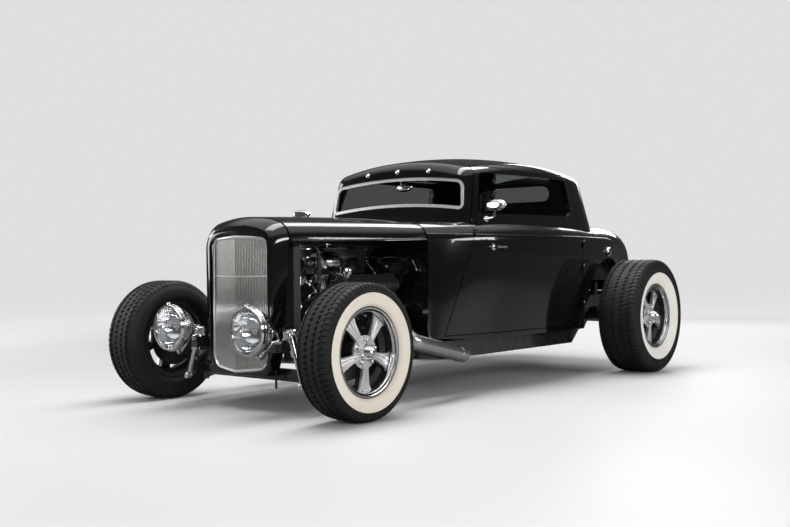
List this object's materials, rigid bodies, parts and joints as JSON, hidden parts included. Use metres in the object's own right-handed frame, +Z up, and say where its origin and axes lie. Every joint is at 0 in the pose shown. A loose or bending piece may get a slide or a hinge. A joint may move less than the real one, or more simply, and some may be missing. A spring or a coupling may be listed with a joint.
{
  "type": "hot rod coupe",
  "caption": "Fenderless 1930s-style hot rod coupe with a chopped roof, open engine bay, rear-hinged doors, opening hood and boot, and steered front wheels.",
  "frame": {"origin": "on the floor, under the middle of the car", "axes": "+X forward, +Y to the car's left, +Z up"},
  "size_m": [3.64, 1.92, 1.3918],
  "materials": {
    "body_paint": "gloss black enamel",
    "black_paint": "gloss black enamel on steel",
    "spring_steel": "satin black",
    "chrome": "bright chrome plate",
    "clear_glass": "clear",
    "cast_steel": "satin black casting",
    "polished_steel": "polished stainless steel",
    "wheel_rim_plastic": "moulded rim",
    "polished_aluminium": "polished casting",
    "tyre": "black rubber with a white band",
    "engine_paint": "black engine enamel",
    "black_crinkle": "black wrinkle finish",
    "radiator_core": "black finned core",
    "leather": "dark pleated hide",
    "red_lens": "red lens"
  },
  "bodies": {
    "chassis": {"frame_rails": "black_paint", "frame_crossmembers": "black_paint", "front_axle": "black_paint", "front_spring": "spring_steel", "suspension_links": "black_paint", "shock_absorbers": "chrome", "headlamp_stands": "chrome", "headlamps": "chrome", "headlamp_lenses": "clear_glass", "steering_column": "cast_steel", "rear_axle": "black_paint", "driveshaft": "black_paint", "engine_block": "engine_paint", "gearbox": "engine_paint", "valve_covers": "black_crinkle", "intake_and_air_cleaner": "polished_aluminium", "belt_drive_and_fan": "polished_aluminium", "alternator": "chrome", "exhaust_pipes": "polished_steel", "radiator": "radiator_core", "cowl": "body_paint", "rear_body": "body_paint", "roof": "body_paint", "grille_shell": "body_paint", "grille": "polished_steel", "windscreen_frame": "chrome", "cabin_glass": "clear_glass", "floor": "black_paint", "dashboard": "body_paint", "bench_seat": "leather", "fuel_tank": "black_paint", "tail_lamps": "red_lens", "hood_hinge_rod": "polished_steel"},
    "knuckle_left_body": {"knuckle_left": "cast_steel"},
    "knuckle_right_body": {"knuckle_right": "cast_steel"},
    "wheel_front_left": {"front_wheel_left": "polished_aluminium", "front_tyre_left": "tyre"},
    "wheel_front_right": {"front_wheel_right": "polished_aluminium", "front_tyre_right": "tyre"},
    "wheel_rear_left": {"rear_wheel_left": "polished_aluminium", "rear_tyre_left": "tyre"},
    "wheel_rear_right": {"rear_wheel_right": "polished_aluminium", "rear_tyre_right": "tyre"},
    "tie_rod_body": {"tie_rod": "polished_steel"},
    "pitman_body": {"pitman_arm": "cast_steel"},
    "drag_link_body": {"drag_link": "polished_steel"},
    "steering_wheel_body": {"steering_wheel": "wheel_rim_plastic"},
    "door_left_body": {"door_left": "body_paint", "door_glass_left": "clear_glass", "mirror_left": "chrome"},
    "door_right_body": {"door_right": "body_paint", "door_glass_right": "clear_glass", "mirror_right": "chrome"},
    "decklid_body": {"decklid": "body_paint"},
    "hood_left_body": {"hood_left": "body_paint"},
    "hood_right_body": {"hood_right": "body_paint"}
  },
  "joints": [
    {"name": "steer_left", "type": "hinge", "parent": "chassis", "child": "knuckle_left_body", "pos_m": [1.497, 0.57, 0.323], "axis": [0, 0, 1], "range_deg": [-30, 30]},
    {"name": "steer_right", "type": "hinge", "parent": "chassis", "child": "knuckle_right_body", "pos_m": [1.497, -0.57, 0.323], "axis": [0, 0, 1], "range_deg": [-30, 30]},
    {"name": "spin_front_left", "type": "hinge", "parent": "knuckle_left_body", "child": "wheel_front_left", "pos_m": [1.497, 0.7, 0.323], "axis": [0, 1, 0], "continuous": true},
    {"name": "spin_front_right", "type": "hinge", "parent": "knuckle_right_body", "child": "wheel_front_right", "pos_m": [1.497, -0.7, 0.323], "axis": [0, 1, 0], "continuous": true},
    {"name": "spin_rear_left", "type": "hinge", "parent": "chassis", "child": "wheel_rear_left", "pos_m": [-1.223, 0.825, 0.371], "axis": [0, 1, 0], "continuous": true},
    {"name": "spin_rear_right", "type": "hinge", "parent": "chassis", "child": "wheel_rear_right", "pos_m": [-1.223, -0.825, 0.371], "axis": [0, 1, 0], "continuous": true},
    {"name": "tie_rod_end", "type": "hinge", "parent": "knuckle_left_body", "child": "tie_rod_body", "pos_m": [1.347, 0.57, 0.242], "axis": [0, 0, 1], "range_deg": [-30, 30]},
    {"name": "pitman", "type": "hinge", "parent": "chassis", "child": "pitman_body", "pos_m": [1.29, 0.262, 0.244], "axis": [0, 0, 1], "range_deg": [-30, 30]},
    {"name": "drag_link_end", "type": "hinge", "parent": "pitman_body", "child": "drag_link_body", "pos_m": [1.17, 0.262, 0.214], "axis": [0, 0, 1], "range_deg": [-30, 30]},
    {"name": "steering_wheel_turn", "type": "hinge", "parent": "chassis", "child": "steering_wheel_body", "pos_m": [0.115, 0.33, 0.885], "axis": [-0.8101, 0, 0.5863], "range_deg": [-480, 480]},
    {"name": "door_left_hinge", "type": "hinge", "parent": "chassis", "child": "door_left_body", "pos_m": [-0.768, 0.648, 0.7], "axis": [0, 0, 1], "range_deg": [0, 62]},
    {"name": "door_right_hinge", "type": "hinge", "parent": "chassis", "child": "door_right_body", "pos_m": [-0.768, -0.648, 0.7], "axis": [0, 0, -1], "range_deg": [0, 62]},
    {"name": "decklid_hinge", "type": "hinge", "parent": "chassis", "child": "decklid_body", "pos_m": [-1.16, 0, 1.01], "axis": [0, 1, 0], "range_deg": [0, 55]},
    {"name": "hood_left_hinge", "type": "hinge", "parent": "chassis", "child": "hood_left_body", "pos_m": [1.095, 0, 0.986], "axis": [0.9999, 0, -0.015], "range_deg": [0, 60]},
    {"name": "hood_right_hinge", "type": "hinge", "parent": "chassis", "child": "hood_right_body", "pos_m": [1.095, 0, 0.986], "axis": [-0.9999, 0, 0.015], "range_deg": [0, 60]}
  ],
  "couplings": [
    {"joint": "steer_right", "follows": "steer_left", "ratio": 1},
    {"joint": "tie_rod_end", "follows": "steer_left", "ratio": -1},
    {"joint": "pitman", "follows": "steer_left", "ratio": 1},
    {"joint": "drag_link_end", "follows": "steer_left", "ratio": -1},
    {"joint": "steering_wheel_turn", "follows": "steer_left", "ratio": 16}
  ]
}
